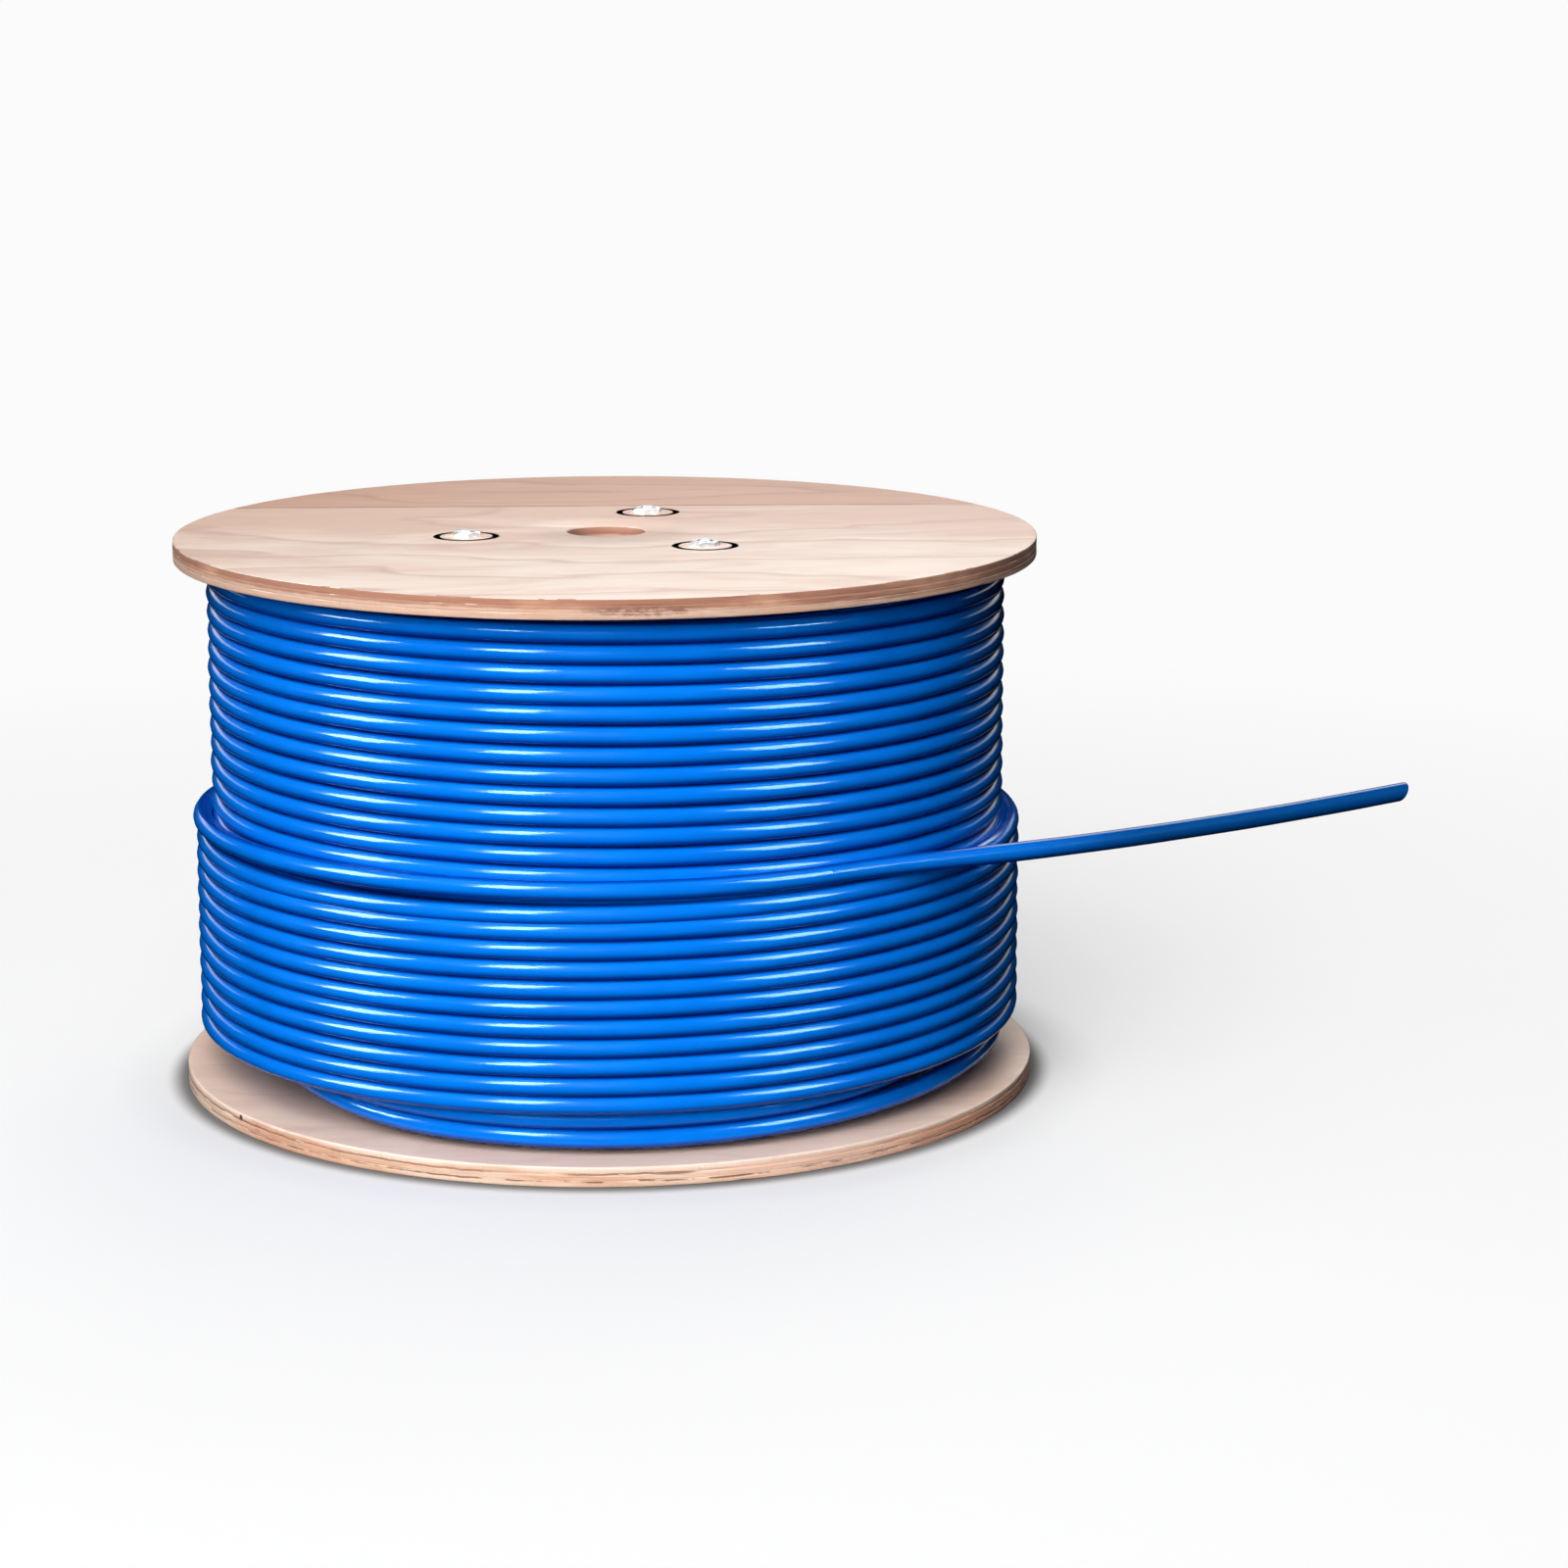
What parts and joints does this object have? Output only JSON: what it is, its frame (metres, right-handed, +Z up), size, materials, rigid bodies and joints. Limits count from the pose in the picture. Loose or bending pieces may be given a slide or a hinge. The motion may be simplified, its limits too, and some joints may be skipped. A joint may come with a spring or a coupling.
{
  "type": "cable reel",
  "caption": "Open plywood cable reel wound with blue network cable, its last turn drawn off and running out level at one side.",
  "frame": {"origin": "middle of the lower flange's underside, on the reel's axis, at floor level", "axes": "+Z up the reel's axis; -Y to the side where the last turn runs left to right; +X to the side where the free end goes"},
  "size_m": [0.4777, 0.33, 0.2135],
  "materials": {
    "plywood": "sanded birch plywood, unsealed",
    "paperboard": "matt spiral-wound kraft paperboard",
    "zinc_steel": "satin zinc plate",
    "cable_jacket": "smooth glossy blue jacket"
  },
  "bodies": {
    "root": {"top_flange": "plywood", "bottom_flange": "plywood", "barrel_tube": "paperboard", "top_washer_1": "zinc_steel", "top_washer_2": "zinc_steel", "top_washer_3": "zinc_steel", "bottom_washer_1": "zinc_steel", "bottom_washer_2": "zinc_steel", "bottom_washer_3": "zinc_steel", "tie_bolt_1": "zinc_steel", "tie_bolt_2": "zinc_steel", "tie_bolt_3": "zinc_steel", "nut_1": "zinc_steel", "nut_2": "zinc_steel", "nut_3": "zinc_steel", "cable_inner_layers": "cable_jacket", "cable_full_layer": "cable_jacket", "cable_outer_layer": "cable_jacket", "cable_last_turn": "cable_jacket", "cable_tail": "cable_jacket"}
  },
  "joints": []
}
